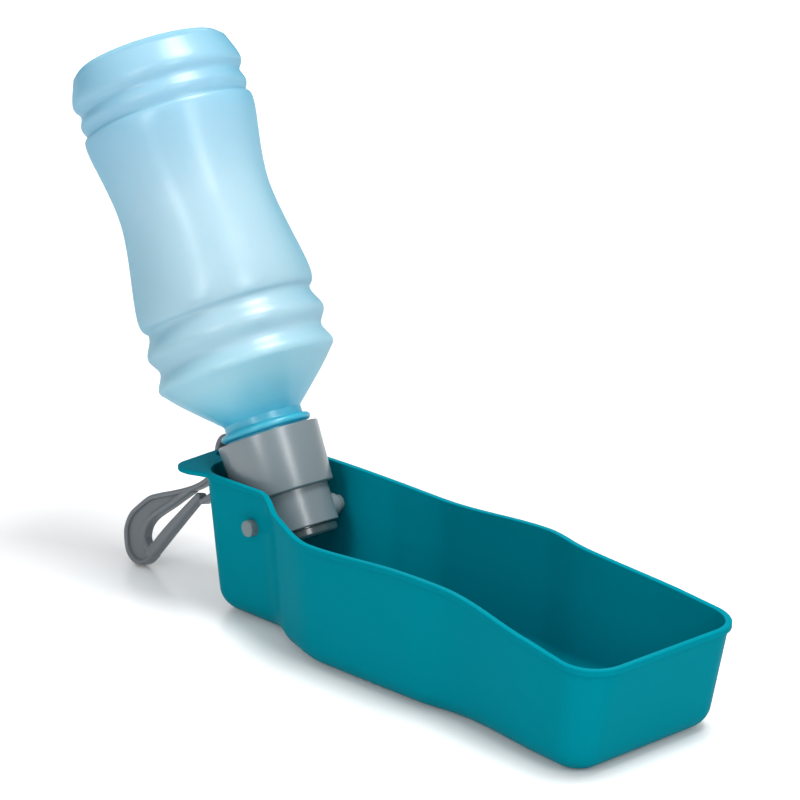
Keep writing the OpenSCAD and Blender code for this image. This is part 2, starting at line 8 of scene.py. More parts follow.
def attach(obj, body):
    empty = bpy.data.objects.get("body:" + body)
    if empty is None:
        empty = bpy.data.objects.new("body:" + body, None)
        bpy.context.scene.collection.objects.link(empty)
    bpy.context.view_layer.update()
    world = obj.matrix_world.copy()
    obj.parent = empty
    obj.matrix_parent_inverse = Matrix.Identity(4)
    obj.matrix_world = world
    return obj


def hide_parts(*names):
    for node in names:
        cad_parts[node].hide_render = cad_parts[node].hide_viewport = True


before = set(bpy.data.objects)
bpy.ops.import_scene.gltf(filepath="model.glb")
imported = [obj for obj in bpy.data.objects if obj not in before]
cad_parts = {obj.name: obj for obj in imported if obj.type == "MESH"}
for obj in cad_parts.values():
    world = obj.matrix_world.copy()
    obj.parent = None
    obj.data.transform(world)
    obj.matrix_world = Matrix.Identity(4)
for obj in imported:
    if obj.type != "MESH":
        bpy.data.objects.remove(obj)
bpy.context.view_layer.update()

MM = 0.001
MERGE_DIST = 1e-7        # metres
CRISP_DEGREES = 34       # an edge that turns more than this stays crisp

# Sizes in millimetres. They are the solids' own, apart from LEDGE_HALF_W and PIN_REACH, which are
# a little less, the lines of the ears and of the clip's round end, and what is named as eased,
# fuller, smaller or sunk.

# Trough
REAR_INNER_X = 35.4
FRONT_X = 205.6
REAR_HALF_W = 25.1
REAR_RIM_Z = 60.5
FRONT_HALF_W = 41.6
FRONT_RIM_Z = 43.9
WALL_T, FLOOR_T = 1.6, 1.8
LIP_W, LIP_H, LIP_ROUND = 0.8, 2.5, 0.45
BASE_R = 10.5
REAR_CORNER_R, FRONT_CORNER_R, FLOOR_CORNER_R = 15, 15, 4
SIDE_DRAFT, FRONT_DRAFT, REAR_DRAFT = (math.radians(a) for a in (3.55, 12.4, 5.7))
BLEND_LEN = 28
RIM_KNOTS = [
    (5, REAR_HALF_W, REAR_RIM_Z), (25.5, 33.2, 56.1), (50.5, 39, 52.5), (105, 38.5, 55.1),
    (128, 36, 53.3), (169, 40, 47.9), (FRONT_X - LIP_W, FRONT_HALF_W, FRONT_RIM_Z),
]
LEDGE_X, LEDGE_HALF_W, LEDGE_T, LEDGE_ROUND = 49.8, 29.1, 2, 0.6
SLOT_W, SLOT_LEN, WEB_W = 8, 14, 3.4
LEDGE_LOW, LEDGE_BACK_Y, LEDGE_ROOT_X = REAR_RIM_Z - LEDGE_T, 0.5, 20
EAR_X, EAR_R, EAR_STEPS = 38.6, 8.2, 20
EAR_SIDE = [(-36, 29), (-33.4, 28.2), (-29.8, 26.8), (-26.2, 25.9)]
REAR_LINE_YS, WALL_STEP, CORNER_STEPS, LEAST_CORNER_R = (1.3, 4), 1.6, 22, 0.5
FLOOR_RING_W, LIP_UNDER_ROUND = 1.5, 0.3
CUT_PAST, SLOT_STEPS, HOLE_STEPS, PIN_HOLE_YS = 1, 18, 48, (18, 29)

# Hinge and cap
PIVOT_Z, AXIS_BACK = 43.6, 3
PIN_R, PIN_REACH, PIN_GAP, BOSS_R = 3.4, 27.4, 0.08, 4.8
COLLAR_TOP_R, COLLAR_LOW_R, COLLAR_TOP, COLLAR_LOW = 21.3, 20.1, 35.2, 9.6
BARREL_R, BARREL_LOW, THREAD_BORE_R = 17.4, -6.4, 18.75
WATERWAY_R, CHAMBER_R, SHELF_U = 11.5, 13.5, 11.1
VALVE_T, NOZZLE_R, NOZZLE_H, NOZZLE_GAP, OUTLET_R = 1.5, 16.1, 3.8, 0.5, 7.5
WASHER_T = 2
PITCH, THREAD_TURNS = 4.2, 1.5
THREAD_LOW = SHELF_U + WASHER_T + 2.5
COLLAR_THREAD_H, THREAD_ROD_R, THREAD_START = 1.25, 1.1, math.radians(20)
REST_GAP, BOSS_GAP, BOSS_SUNK, PIN_IN, PIN_CROWN = 0.1, 2.5, 2, 5.6, 0.12
WASHER_GAP, WASHER_IN, WASHER_ROUND = 0.3, 0.6, 0.25
NOZZLE_STEP, VALVE_SEAT_W, PRESS_GAP = 1.2, 1.4, 0.02

# Bottle
BOTTLE_WALL, NECK_R, NECK_WALL = 1, 17, 1.7
BEAD_U, BEAD_H, BEAD_R = COLLAR_TOP + 1.1, 3, 19
UPPER_NECK_R = 16.4
BOTTLE_END = 201.5
SHOULDER, RIB, BODY = (65, 37.4), (79, 37.8), (96, 37.2)
WAIST, SWELL, HEEL_RIB, HEEL = (135, 31.9), (168.5, 36.1), (178, 35.6), (188, 36.3)
GRIP_GROOVE, HEEL_GROOVE = 2.9, 1.7
UPPER_NECK_H, SHOULDER_START_H, SHOULDER_START_W = 3.4, 4.4, 0.8
SHOULDER_FULLER, SHOULDER_EASE = 1.3, (4, 2.5)
HEEL_ROUND, FLAT_R, BASE_HOLLOW, BASE_LIP = 3.4, 26, 3, 3.6

# Clip
CLIP_T, CLIP_WEB_T, CLIP_LEN, CLIP_TILT = 5.5, 2.4, 68, math.radians(13)
EYE_W, RIM_W, LOOP_RIB_W, EYE_R, EYE_BEND = 2.9, 2.3, 2.2, 3.3, math.radians(40)
CLIP_END_R, ROOT_R = 10.4, 3
ARM_TIP_HALF, ARM_ROOT_HALF = 1.4, 2.2
RIM_END_HALF, RIM_EDGE, EYE_RISE, EYE_SHIFT = 0.85, 1.05, 0.6, 0.4
RIB_FULLER, RIB_SUNK, RIB_EDGE = 0.4, 0.06, 1.3
ARM_FULLER, ARM_SUNK, ARM_EDGE = 0.3, 0.03, 1.5
DISC_SMALLER, DISC_SUNK, DISC_STEPS = 0.6, 0.5, 30


# Curves

def hermite(t, y0, y1, m0, m1, h):
    return ((2 * t**3 - 3 * t**2 + 1) * y0 + (t**3 - 2 * t**2 + t) * h * m0
            + (3 * t**2 - 2 * t**3) * y1 + (t**3 - t**2) * h * m1)


def secant(knots, column, i):
    return (knots[i + 1][column] - knots[i][column]) / (knots[i + 1][0] - knots[i][0])


def knot_slope(knots, column, i):
    if i in (0, len(knots) - 1):
        return 0
    a, b = secant(knots, column, i - 1), secant(knots, column, i)
    return 0 if a * b <= 0 else 2 * a * b / (a + b)


def along(knots, column, x):
    """Column of the knots at x, on a curve that doesn't overshoot them."""
    if x <= knots[0][0]:
        return knots[0][column]
    if x >= knots[-1][0]:
        return knots[-1][column]
    i = max(j for j in range(len(knots) - 1) if knots[j][0] <= x)
    h = knots[i + 1][0] - knots[i][0]
    return hermite((x - knots[i][0]) / h, knots[i][column], knots[i + 1][column],
                   knot_slope(knots, column, i), knot_slope(knots, column, i + 1), h)


def smooth_line(points, pieces):
    """A smooth curve through the points, with so many pieces between two of them."""
    points = [Vector(p) for p in points]
    out = []
    for i in range(len(points) - 1):
        a, b, c, d = (points[min(max(k, 0), len(points) - 1)] for k in (i - 1, i, i + 1, i + 2))
        for j in range(pieces):
            t = j / pieces
            out.append(0.5 * (2 * b + (c - a) * t + (2 * a - 5 * b + 4 * c - d) * t * t
                              + (3 * b - a - 3 * c + d) * t**3))
    return out + [points[-1]]


def arc(centre, r, start, stop, steps):
    turns = [math.radians(start + (stop - start) * i / steps) for i in range(steps + 1)]
    return [(centre[0] + r * math.cos(a), centre[1] + r * math.sin(a)) for a in turns]


def mirrored(half):
    return half + [(x, -y) for x, y in reversed(half)]


def eased(corners, steps=4):
    """A line of (x, y, radius) corners, each rounded by its radius."""
    out = []
    last = len(corners) - 1
    for i, (x, y, r) in enumerate(corners):
        here = Vector((x, y))
        if r == 0 or i in (0, last):
            out.append((x, y))
            continue
        to_a = (Vector(corners[i - 1][:2]) - here).normalized()
        to_b = (Vector(corners[i + 1][:2]) - here).normalized()
        half = to_a.angle(to_b) / 2
        start, stop = here + to_a * r / math.tan(half), here + to_b * r / math.tan(half)
        centre = here + (to_a + to_b).normalized() * r / math.sin(half)
        for k in range(steps + 1):
            d = (start - centre).lerp(stop - centre, k / steps).normalized()
            out.append(tuple(centre + d * r))
    return out


# Meshes

def as_piece(name, mesh, material, body, slot, *nodes):
    """Puts a finished mesh in the scene on its body, in place of the CAD nodes."""
    piece = new_object(name, mesh)
    mesh.materials.clear()
    mesh.materials.append(material)
    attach(piece, body)
    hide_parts(*nodes)


def closed_mesh(name, shells, smooth=True):
    """One mesh of closed shells. Each is (points in mm, faces)."""
    work = bmesh.new()
    for points, faces in shells:
        made = [work.verts.new(Vector(p) * MM) for p in points]
        for f in faces:
            work.faces.new([made[i] for i in f])
    bmesh.ops.remove_doubles(work, verts=work.verts, dist=MERGE_DIST)
    bmesh.ops.recalc_face_normals(work, faces=work.faces)
    for f in work.faces:
        f.smooth = smooth
    mesh = bpy.data.meshes.new(name)
    work.to_mesh(mesh)
    work.free()
    return mesh


def lofted(rows):
    """A closed shell through rings of points, with a flat face at each end."""
    n = len(rows[0])
    points = [p for row in rows for p in row]
    faces = [(r * n + i, r * n + (i + 1) % n, (r + 1) * n + (i + 1) % n, (r + 1) * n + i)
             for r in range(len(rows) - 1) for i in range(n)]
    faces += [tuple(range(n)), tuple((len(rows) - 1) * n + i for i in range(n))]
    return points, faces


def crisp(mesh, degrees=CRISP_DEGREES):
    mesh.set_sharp_from_angle(angle=math.radians(degrees))
    return mesh


def evaluated_mesh(obj, name):
    """The plain mesh of an object with its modifiers, which then go with the object."""
    depsgraph = bpy.context.evaluated_depsgraph_get()
    mesh = bpy.data.meshes.new_from_object(obj.evaluated_get(depsgraph), depsgraph=depsgraph)
    mesh.name = name
    obj.modifiers.clear()
    bpy.data.objects.remove(obj)
    return mesh


def new_object(name, data):
    """An object with this mesh, lamp or camera, in the scene."""
    obj = bpy.data.objects.new(name, data)
    bpy.context.scene.collection.objects.link(obj)
    return obj


def cut_and_joined(name, base, steps):
    """The base mesh after each (operation, mesh) in turn."""
    obj = new_object(name, base)
    tools = []
    for operation, mesh in steps:
        tool = new_object(name + " tool", mesh)
        tools.append(tool)
        boolean = obj.modifiers.new(operation.lower(), "BOOLEAN")
        boolean.operation, boolean.solver, boolean.object = operation, "EXACT", tool
    even = obj.modifiers.new("even normals", "WEIGHTED_NORMAL")
    even.keep_sharp = True
    mesh = evaluated_mesh(obj, name)
    for tool in tools:
        bpy.data.objects.remove(tool)
    return mesh


# Trough: the wall's line at the rim, and its section at each point of that line

WALL_FRONT_X, WALL_REAR_X = FRONT_X - LIP_W, -REAR_INNER_X - WALL_T
SIDE_FROM, SIDE_TO = WALL_REAR_X + REAR_CORNER_R, WALL_FRONT_X - FRONT_CORNER_R
FRONT_SIDE_W = along(RIM_KNOTS, 1, SIDE_TO)


def wall_line(side_step, corner_steps):
    count = math.ceil((SIDE_TO - SIDE_FROM) / side_step)
    side = [SIDE_FROM + (SIDE_TO - SIDE_FROM) * i / count for i in range(1, count)]
    return mirrored(
        [(WALL_REAR_X, y) for y in REAR_LINE_YS]
        + arc((SIDE_FROM, REAR_HALF_W - REAR_CORNER_R), REAR_CORNER_R, 180, 90, corner_steps)
        + [(x, along(RIM_KNOTS, 1, x)) for x in side]
        + arc((SIDE_TO, FRONT_SIDE_W - FRONT_CORNER_R), FRONT_CORNER_R, 90, 0, corner_steps)
        + [(WALL_FRONT_X, FRONT_HALF_W / part) for part in (3, 9)]
    )


def wall_normals(plan):
    normals = []
    for i in range(len(plan)):
        d = Vector(plan[(i + 1) % len(plan)]) - Vector(plan[i - 1])
        normals.append(Vector((-d.y, d.x)).normalized())
    return normals


def draft_towards(normal):
    back, ahead = max(0, -normal.x), max(0, normal.x)
    return SIDE_DRAFT + (REAR_DRAFT - SIDE_DRAFT) * back**2 + (FRONT_DRAFT - SIDE_DRAFT) * ahead**2


def wall_section(draft, rim, inward, lift, steps=12):
    r = BASE_R - inward
    z = lift + r
    x = -inward - (rim - z + r * math.sin(draft)) * math.tan(draft) - r * math.cos(draft)
    turns = [-math.pi / 2 + (math.pi / 2 - draft) * s / steps for s in range(steps + 1)]
    foot = [(x - FLOOR_RING_W, lift)]
    return foot + [(x + r * math.cos(a), z + r * math.sin(a)) for a in turns]


def trough_section(draft, rim):
    lip = eased([
        (-LIP_H * math.tan(draft), rim - LIP_H, 0), (LIP_W, rim - LIP_H, LIP_UNDER_ROUND),
        (LIP_W, rim, LIP_ROUND), (-WALL_T, rim, LIP_ROUND), (-WALL_T, rim - 2 * LIP_ROUND, 0),
    ])
    inside = wall_section(draft, rim, WALL_T, FLOOR_T)
    return wall_section(draft, rim, 0, 0) + lip[:-1] + inside[::-1]


def corner_radius(row, r, end, side):
    """Corners are rounder at the rim than at the floor."""
    tighter = (r - FLOOR_CORNER_R) * (end[row][0] + side[row][0]) / (end[1][0] + side[1][0])
    return max(LEAST_CORNER_R, r - tighter)


def corner_shift(row, corner, away):
    """How far a corner's own radius moves the side next to it along X."""
    return ((corner_radius(row, *corner) - corner[0] - corner[1][row][0])
            * max(0, 1 - away / BLEND_LEN))


def on_corner(normal, row, corner, end_x, side_y):
    end, side = corner[1], corner[2]
    k = corner_radius(row, *corner)
    centre_x = end_x + math.copysign(end[row][0] - k, end_x * (end[row][0] - k))
    centre_y = side_y + side[row][0] - k
    return centre_x + k * normal.x, math.copysign(centre_y, normal.y) + k * normal.y


def trough_shell(plan, normals):
    """The basin's wall and floor. A corner is its radius, with the sections of its end and its side."""
    sections = [trough_section(draft_towards(normal), along(RIM_KNOTS, 2, x))
                for (x, _), normal in zip(plan, normals)]
    rear = (REAR_CORNER_R, trough_section(REAR_DRAFT, REAR_RIM_Z), trough_section(SIDE_DRAFT, REAR_RIM_Z))
    front = (FRONT_CORNER_R, trough_section(FRONT_DRAFT, FRONT_RIM_Z),
             trough_section(SIDE_DRAFT, along(RIM_KNOTS, 2, SIDE_TO)))
    rows = []
    for row in range(len(sections[0])):
        ring = []
        for (x, y), normal, section in zip(plan, normals, sections):
            out, z = section[row]
            sideways = abs(normal.y) > 0.01
            if sideways and x <= SIDE_FROM:
                px, py = on_corner(normal, row, rear, WALL_REAR_X, REAR_HALF_W)
            elif sideways and x >= SIDE_TO:
                px, py = on_corner(normal, row, front, WALL_FRONT_X, FRONT_SIDE_W)
            else:
                px, py = x + normal.x * out, y + normal.y * out
                if sideways:
                    px += corner_shift(row, rear, x - SIDE_FROM) - corner_shift(row, front, SIDE_TO - x)
            ring.append((px, py, z))
        rows.append(ring)
    return crisp(closed_mesh("trough shell", [lofted(rows)]))


def upright_cutter(name, outline):
    heights = (LEDGE_LOW - CUT_PAST, REAR_RIM_Z + CUT_PAST)
    return closed_mesh(name, [lofted([[(x, y, z) for x, y in outline] for z in heights])], smooth=False)


def ledge_outline(inset):
    return mirrored(
        [(-LEDGE_X + inset, LEDGE_BACK_Y)]
        + arc((-EAR_X, LEDGE_HALF_W - EAR_R), EAR_R - inset, 174, 80, EAR_STEPS)
        + [(p.x, p.y - inset) for p in smooth_line(EAR_SIDE, 5)]
        + [(-LEDGE_ROOT_X, REAR_HALF_W - WALL_T / 2)]
    )


def ledge_mesh(plan, normals):
    """The rear ledge with its two ears: a plate with rounded edges, outside the wall's middle."""
    turns = [math.radians(22.5 * k) for k in range(5)]
    levels = [(LEDGE_ROUND * (1 - math.sin(a)), LEDGE_LOW + LEDGE_ROUND * (1 - math.cos(a)))
              for a in turns]
    levels += [(inset, 2 * LEDGE_LOW + LEDGE_T - z) for inset, z in reversed(levels)]
    rows = [[(x, y, z) for x, y in ledge_outline(inset)] for inset, z in levels]
    ledge = crisp(closed_mesh("ledge", [lofted(rows)]))
    mid_wall = [(x - normal.x * WALL_T / 2, y - normal.y * WALL_T / 2)
                for (x, y), normal in zip(plan, normals)]
    return cut_and_joined("ledge", ledge, [("DIFFERENCE", upright_cutter("well", mid_wall))])


def slot_outline():
    middle_x = -LEDGE_X + WEB_W + SLOT_W / 2
    span = (SLOT_LEN - SLOT_W) / 2
    return ([(middle_x + x, span + y) for x, y in arc((0, 0), SLOT_W / 2, 0, 180, SLOT_STEPS)]
            + [(middle_x + x, y - span) for x, y in arc((0, 0), SLOT_W / 2, 180, 360, SLOT_STEPS)])


def pin_holes():
    ring = arc((0, 0), PIN_R + PIN_GAP, 0, 360 - 360 / HOLE_STEPS, HOLE_STEPS - 1)
    holes = [lofted([[(x, side * y, PIVOT_Z + z) for x, z in ring] for y in PIN_HOLE_YS])
             for side in (-1, 1)]
    return closed_mesh("pin holes", holes, smooth=False)


def trough_mesh():
    plan = wall_line(WALL_STEP, CORNER_STEPS)
    normals = wall_normals(plan)
    return cut_and_joined("trough", trough_shell(plan, normals), [
        ("UNION", ledge_mesh(plan, normals)),
        ("DIFFERENCE", upright_cutter("slot", slot_outline())),
        ("DIFFERENCE", pin_holes()),
    ])


# Geometry node trees

class Tree:
    """A geometry node tree under construction."""

    def __init__(self, name, **inputs):
        self.tree = bpy.data.node_groups.new(name, "GeometryNodeTree")
        face = self.tree.interface
        face.new_socket("Geometry", in_out="INPUT", socket_type="NodeSocketGeometry")
        for label, (kind, value) in inputs.items():
            socket = face.new_socket(label.replace("_", " "), in_out="INPUT", socket_type="NodeSocket" + kind)
            if value is not None:
                socket.default_value = value
        face.new_socket("Geometry", in_out="OUTPUT", socket_type="NodeSocketGeometry")
        self.given = self.tree.nodes.new("NodeGroupInput")
        self.result = self.tree.nodes.new("NodeGroupOutput")

    def node(self, kind, sockets=None, out=0, **settings):
        made = self.tree.nodes.new(kind)
        for key, value in settings.items():
            setattr(made, key, value)
        for key, value in (sockets or {}).items():
            if isinstance(value, bpy.types.NodeSocket):
                self.tree.links.new(value, made.inputs[key])
            else:
                made.inputs[key].default_value = value
        return made.outputs[out]

    def math(self, operation, *values):
        return self.node("ShaderNodeMath", dict(enumerate(values)), operation=operation)

    def spot(self, x, y, z):
        return self.node("ShaderNodeCombineXYZ", {0: x, 1: y, 2: z})

    def seat(self, geometry, tip, lean, place, material):
        """Tips and leans the geometry, moves it to its seat and coats it, as the tree's result."""
        euler = self.node("ShaderNodeCombineXYZ", {0: tip, 1: lean})
        turned = self.node("FunctionNodeEulerToRotation", {0: euler})
        seated = self.node("GeometryNodeTransform", {
            "Geometry": geometry, "Rotation": turned, "Translation": place})
        smooth = self.node("GeometryNodeSetShadeSmooth", {"Geometry": seated, "Shade Smooth": True})
        whole = self.node("GeometryNodeRealizeInstances", {"Geometry": smooth})
        coated = self.node("GeometryNodeSetMaterial", {"Geometry": whole, "Material": material})
        self.tree.links.new(coated, self.result.inputs[0])
        return self

    def made(self, name, start_mesh, **values):
        """The plain mesh that the tree makes of start_mesh with these inputs."""
        obj = new_object(name, start_mesh)
        modifier = obj.modifiers.new(name, "NODES")
        modifier.node_group = self.tree
        names = {s.name: s.identifier for s in self.tree.interface.items_tree if s.in_out == "INPUT"}
        for key, value in values.items():
            modifier[names[key.replace("_", " ")]] = value
        obj.update_tag()
        return evaluated_mesh(obj, name)


def lathe_tree():
    """Turns a profile, given as points (radius, 0, height), about Z, and puts it in place."""
    t = Tree("lathe", Steps_Round=("Int", 128), Lean=("Float", 0.0), Tip=("Float", 0.0),
             Axis_Back=("Float", 0.0), Seat=("Vector", None), Finish=("Material", None))
    g = t.given.outputs
    count = t.node("GeometryNodeAttributeDomainSize", {"Geometry": g["Geometry"]}, out="Point Count")
    rounds = t.math("ADD", g["Steps Round"], 1)
    grid = t.node("GeometryNodeMeshGrid", {"Vertices X": rounds, "Vertices Y": count})
    index = t.node("GeometryNodeInputIndex")
    sampled = t.node("GeometryNodeSampleIndex", {
        "Geometry": g["Geometry"], "Value": t.node("GeometryNodeInputPosition"),
        "Index": t.math("MODULO", index, count)}, data_type="FLOAT_VECTOR", domain="POINT")
    parts = t.node("ShaderNodeSeparateXYZ", {0: sampled}).node.outputs
    step = t.math("FLOOR", t.math("DIVIDE", index, count))
    turn = t.math("MULTIPLY", t.math("DIVIDE", step, g["Steps Round"]), math.tau)
    x = t.math("SUBTRACT", t.math("MULTIPLY", parts[0], t.math("COSINE", turn)), g["Axis Back"])
    y = t.math("MULTIPLY", parts[0], t.math("SINE", turn))
    turned_grid = t.node("GeometryNodeSetPosition", {"Geometry": grid, "Position": t.spot(x, y, parts[2])})
    merged = t.node("GeometryNodeMergeByDistance", {"Geometry": turned_grid, "Distance": MERGE_DIST})
    return t.seat(merged, g["Tip"], g["Lean"], g["Seat"], g["Finish"])


def thread_tree():
    """A round thread that climbs about Z, thin at both ends."""
    t = Tree("thread", Turns=("Float", THREAD_TURNS), Pitch=("Float", PITCH * MM), Radius=("Float", 0.0),
             Height=("Float", 0.0), Thickness=("Float", THREAD_ROD_R * MM), Start=("Float", 0.0),
             Lean=("Float", 0.0), Axis_Back=("Float", 0.0), Seat=("Vector", None),
             Finish=("Material", None))
    g = t.given.outputs
    steps, sides, end_size, end_growth = 96, 14, 0.12, 12.0
    line = t.node("GeometryNodeResampleCurve", {
        "Curve": t.node("GeometryNodeCurvePrimitiveLine"), "Count": steps + 1})
    share = t.node("GeometryNodeSplineParameter")
    turns = t.math("MULTIPLY", share, g["Turns"])
    turn = t.math("ADD", t.math("MULTIPLY", turns, math.tau), g["Start"])
    x = t.math("SUBTRACT", t.math("MULTIPLY", g["Radius"], t.math("COSINE", turn)), g["Axis Back"])
    y = t.math("MULTIPLY", g["Radius"], t.math("SINE", turn))
    z = t.math("ADD", g["Height"], t.math("MULTIPLY", turns, g["Pitch"]))
    helix = t.node("GeometryNodeSetPosition", {"Geometry": line, "Position": t.spot(x, y, z)})
    near_end = t.math("MINIMUM", share, t.math("SUBTRACT", 1.0, share))
    taper = t.math("MINIMUM", 1.0, t.math("ADD", end_size, t.math("MULTIPLY", near_end, end_growth)))
    upright = t.node("GeometryNodeSetCurveNormal", {"Curve": helix})
    section = t.node("GeometryNodeCurvePrimitiveCircle", {"Resolution": sides, "Radius": g["Thickness"]})
    tube = t.node("GeometryNodeCurveToMesh", {
        "Curve": upright, "Profile Curve": section, "Scale": taper, "Fill Caps": True})
    return t.seat(tube, 0.0, g["Lean"], g["Seat"], g["Finish"])


def profile_mesh(points):
    mesh = bpy.data.meshes.new("profile")
    edges = [(i, i + 1) for i in range(len(points) - 1)]
    mesh.from_pydata([(x * MM, 0, z * MM) for x, z in points], edges, [])
    return mesh


def put_right(mesh, degrees=CRISP_DEGREES):
    """Merged, closed and facing outwards, with crisp edges where it turns sharply."""
    work = bmesh.new()
    work.from_mesh(mesh)
    bmesh.ops.remove_doubles(work, verts=work.verts, dist=MERGE_DIST)
    bmesh.ops.recalc_face_normals(work, faces=work.faces)
    work.to_mesh(mesh)
    work.free()
    return crisp(mesh, degrees)


def joined(name, meshes):
    """One mesh of several closed ones, with their material."""
    work = bmesh.new()
    for mesh in meshes:
        work.from_mesh(mesh)
    whole = bpy.data.meshes.new(name)
    work.to_mesh(whole)
    work.free()
    whole.materials.append(meshes[0].materials[0])
    return whole


def lean_angle():
    """The lean at which the collar's back rests on the rear rim."""
    slope = (COLLAR_TOP_R - COLLAR_LOW_R) / (COLLAR_TOP - COLLAR_LOW)
    foot_r = COLLAR_LOW_R - slope * COLLAR_LOW
    stop = REAR_RIM_Z - PIVOT_Z
    far = math.hypot(REAR_INNER_X, stop) * math.hypot(1, slope)
    turn = math.atan2(stop + slope * REAR_INNER_X, REAR_INNER_X - slope * stop)
    return math.acos((AXIS_BACK + foot_r + REST_GAP) / far) - turn


LEAN = lean_angle()
HINGE = Vector((0, 0, PIVOT_Z * MM))
AXIS = Vector((-math.sin(LEAN), 0, math.cos(LEAN)))
LATHE = lathe_tree()
THREAD = thread_tree()


def turned(name, points, finish, rounds=128, on_axis=True, **more):
    """A profile in mm turned about the bottle's leaned axis."""
    values = {"Lean": -LEAN, "Axis_Back": AXIS_BACK * MM, "Seat": tuple(HINGE)} if on_axis else {}
    values.update(more)
    return put_right(LATHE.made(name, profile_mesh(points), Steps_Round=rounds, Finish=finish, **values))


def threaded(name, radius, height, finish):
    line = profile_mesh([(0, 0), (1, 0)])
    rod = THREAD.made(name, line, Radius=radius * MM, Height=height * MM, Start=THREAD_START,
                      Lean=-LEAN, Axis_Back=AXIS_BACK * MM, Seat=tuple(HINGE), Finish=finish)
    return put_right(rod, degrees=60)


# Bottle

def bottle_outside():
    """The blown body's outer line, as (radius, height), from the upper neck to the base's middle."""
    def groove(a, b, depth):
        return (a[0] + b[0]) / 2, (a[1] + b[1]) / 2 - depth

    low = (BEAD_U + BEAD_H + SHOULDER_START_H, UPPER_NECK_R + SHOULDER_START_W)
    rings = [
        low, ((low[0] + SHOULDER[0]) / 2, (low[1] + SHOULDER[1]) / 2 + SHOULDER_FULLER),
        (SHOULDER[0] - SHOULDER_EASE[0], SHOULDER[1] - SHOULDER_EASE[1]),
        SHOULDER, groove(SHOULDER, RIB, GRIP_GROOVE), RIB, groove(RIB, BODY, GRIP_GROOVE), BODY,
        WAIST, SWELL, groove(SWELL, HEEL_RIB, HEEL_GROOVE), HEEL_RIB,
        groove(HEEL_RIB, HEEL, HEEL_GROOVE), HEEL, (BOTTLE_END - HEEL_ROUND, HEEL[1] - HEEL_ROUND),
    ]
    body = [(r, u) for u, r in smooth_line(rings, 8)]
    base = smooth_line([
        (HEEL[1] - HEEL_ROUND, BOTTLE_END - HEEL_ROUND), (FLAT_R + BASE_LIP, BOTTLE_END - 0.6),
        (FLAT_R, BOTTLE_END), (FLAT_R - 6, BOTTLE_END - 0.9), (FLAT_R / 3, BOTTLE_END - BASE_HOLLOW),
        (0.6, BOTTLE_END - BASE_HOLLOW)], 5)
    return body + [tuple(p) for p in base[1:]] + [(0, BOTTLE_END - BASE_HOLLOW)]


def bottle_inside(outside):
    """The outer line drawn in by the wall, with a floor over the base."""
    inside = []
    for r, u in reversed(outside):
        floor = BOTTLE_WALL if r < FLAT_R + 4 and u > WAIST[0] else 0
        inside.append((max(r - BOTTLE_WALL, 0), min(u, BOTTLE_END - BASE_HOLLOW) - floor))
    return inside


def bottle_profile():
    bore, mouth = NECK_R - NECK_WALL, SHELF_U + WASHER_T
    neck = eased([
        (bore, mouth, 0), (NECK_R, mouth, 0.4), (NECK_R, BEAD_U, 0.3), (BEAD_R, BEAD_U, 1.45),
        (BEAD_R, BEAD_U + BEAD_H, 1.45), (UPPER_NECK_R, BEAD_U + BEAD_H, 1.2),
        (UPPER_NECK_R, BEAD_U + BEAD_H + UPPER_NECK_H, 0),
    ], 7)
    outside = bottle_outside()
    return neck + outside + bottle_inside(outside) + [(bore, BEAD_U + BEAD_H), (bore, mouth)]


def bottle_mesh(finish):
    body = turned("bottle body", bottle_profile(), finish, rounds=144)
    thread = threaded("neck thread", NECK_R + 0.1, THREAD_LOW + PITCH / 2, finish)
    return joined("bottle", [body, thread])


# Cap, pins, valve and nozzle ring

BOSS_END = REAR_HALF_W - (REAR_RIM_Z - PIVOT_Z) * math.tan(SIDE_DRAFT) - WALL_T - BOSS_GAP


def cap_mesh(finish):
    body = eased([
        (CHAMBER_R, 0, 0), (CHAMBER_R, BARREL_LOW, 0.3), (BARREL_R, BARREL_LOW, 0.6),
        (BARREL_R, COLLAR_LOW, 0.15), (COLLAR_LOW_R, COLLAR_LOW, 0.9), (COLLAR_TOP_R, COLLAR_TOP, 0.35),
        (THREAD_BORE_R, COLLAR_TOP, 0.35), (THREAD_BORE_R, SHELF_U, 0), (WATERWAY_R, SHELF_U, 0.3),
        (WATERWAY_R, 0, 0), (CHAMBER_R, 0, 0),
    ])
    boss = eased([(0, -BOSS_SUNK, 0), (BOSS_R, -BOSS_SUNK, 0), (BOSS_R, BOSS_END - BARREL_R, 0.7),
                  (0, BOSS_END - BARREL_R, 0)])
    bosses = [turned(f"boss {side}", boss, finish, 64, on_axis=False, Tip=-side * math.pi / 2,
                     Seat=(0, side * BARREL_R * MM, PIVOT_Z * MM)) for side in (1, -1)]
    thread = threaded("collar thread", THREAD_BORE_R, THREAD_LOW, finish)
    return joined("cap", [turned("cap body", body, finish, 160), *bosses, thread])


def pin_mesh(side, finish):
    start = BOSS_END - PIN_IN
    profile = eased([(0, 0, 0), (PIN_R, 0, 0.2), (PIN_R, PIN_REACH - start, 0.5),
                     (0, PIN_REACH - start - PIN_CROWN, 0)])
    return turned("pin", profile, finish, 64, on_axis=False, Tip=-side * math.pi / 2,
                  Seat=(0, side * start * MM, PIVOT_Z * MM))


def washer_mesh(finish):
    outer = THREAD_BORE_R - COLLAR_THREAD_H - WASHER_GAP
    inner = NECK_R - NECK_WALL - WASHER_IN
    low, high = SHELF_U, SHELF_U + WASHER_T
    return turned("washer", eased([
        (inner, low + 1, 0), (inner, low, WASHER_ROUND), (outer, low, WASHER_ROUND),
        (outer, high, WASHER_ROUND), (inner, high, WASHER_ROUND), (inner, low + 1, 0)]), finish, 96)


